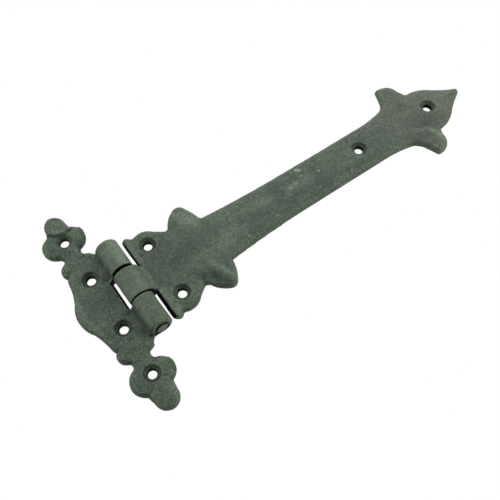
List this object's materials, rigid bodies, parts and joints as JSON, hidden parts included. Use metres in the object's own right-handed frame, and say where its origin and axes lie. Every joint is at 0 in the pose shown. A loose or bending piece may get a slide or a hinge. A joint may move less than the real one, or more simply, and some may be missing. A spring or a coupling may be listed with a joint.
{
  "type": "t hinge",
  "caption": "Ornamental cast iron T hinge for a gate: a short frame leaf and a long strap leaf with a fleur-de-lis end, swinging on one pin.",
  "frame": {"origin": "midway between the frame plate's two screw holes, on the plane that the backs of both leaves lie on", "axes": "+X along the strap towards its tip, +Y along the hinge pin, +Z out of the face, away from the post and gate"},
  "size_m": [0.2128, 0.1036, 0.0102],
  "materials": {
    "casting": "matt green-grey wax over rough sand-cast iron",
    "pin": "matt green-grey coat over mild steel"
  },
  "bodies": {
    "frame": {"frame_leaf": "casting", "hinge_pin": "pin"},
    "strap": {"strap_leaf": "casting"}
  },
  "joints": [
    {"name": "strap_pivot", "type": "hinge", "parent": "frame", "child": "strap", "pos_m": [0.01265, 0, 0.0051], "axis": [0, -1, 0], "range_deg": [-100, 180]}
  ]
}
